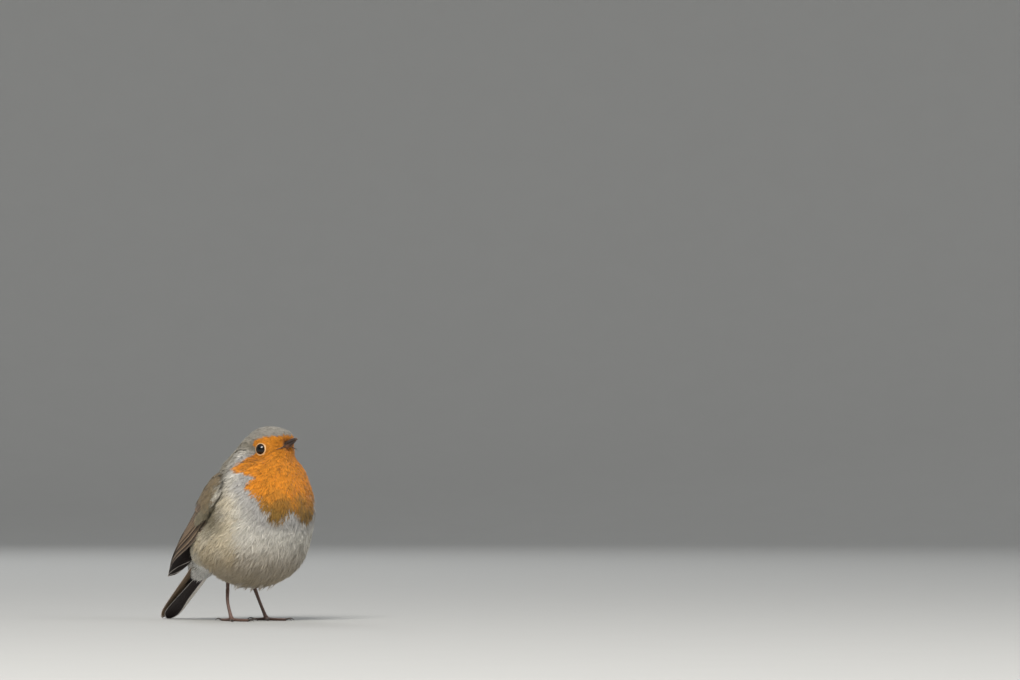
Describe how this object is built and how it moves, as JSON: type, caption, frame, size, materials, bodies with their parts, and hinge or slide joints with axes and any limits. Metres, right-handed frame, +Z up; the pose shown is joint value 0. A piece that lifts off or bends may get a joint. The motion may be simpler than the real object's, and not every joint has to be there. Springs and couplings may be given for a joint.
{
  "type": "european robin",
  "caption": "Small round songbird with an orange breast, grey-white belly and olive-brown back, standing with its head turned up.",
  "frame": {"origin": "on the floor under the middle of the bounding box", "axes": "+Z up, -Y the way the body faces, +X towards the bird's left side"},
  "size_m": [0.0624, 0.1036, 0.1015],
  "materials": {
    "plumage_orange": "soft orange feathers of face, throat and breast",
    "plumage_belly": "loose grey-white and buff feathers of belly, flanks and rump",
    "plumage_brown": "olive-brown wing, back and tail feathers, smooth and close",
    "leg": "scaled skin, slightly glossy",
    "claw": "smooth dark horn",
    "bill": "smooth dark horn, satin",
    "eye": "wet, mirror smooth, near black"
  },
  "bodies": {
    "root": {"head": "plumage_orange", "neck": "plumage_orange", "trunk": "plumage_belly", "rump": "plumage_belly", "tail": "plumage_brown", "eye_right": "eye", "eye_left": "eye", "bill_upper": "bill", "bill_lower": "bill", "wing_right": "plumage_brown", "primaries_right": "plumage_brown", "thigh_right": "plumage_belly", "tarsus_right": "leg", "toe_inner_right": "leg", "claw_inner_right": "claw", "toe_middle_right": "leg", "claw_middle_right": "claw", "toe_outer_right": "leg", "claw_outer_right": "claw", "toe_hind_right": "leg", "claw_hind_right": "claw", "wing_left": "plumage_brown", "primaries_left": "plumage_brown", "thigh_left": "plumage_belly", "tarsus_left": "leg", "toe_inner_left": "leg", "claw_inner_left": "claw", "toe_middle_left": "leg", "claw_middle_left": "claw", "toe_outer_left": "leg", "claw_outer_left": "claw", "toe_hind_left": "leg", "claw_hind_left": "claw"}
  },
  "joints": []
}
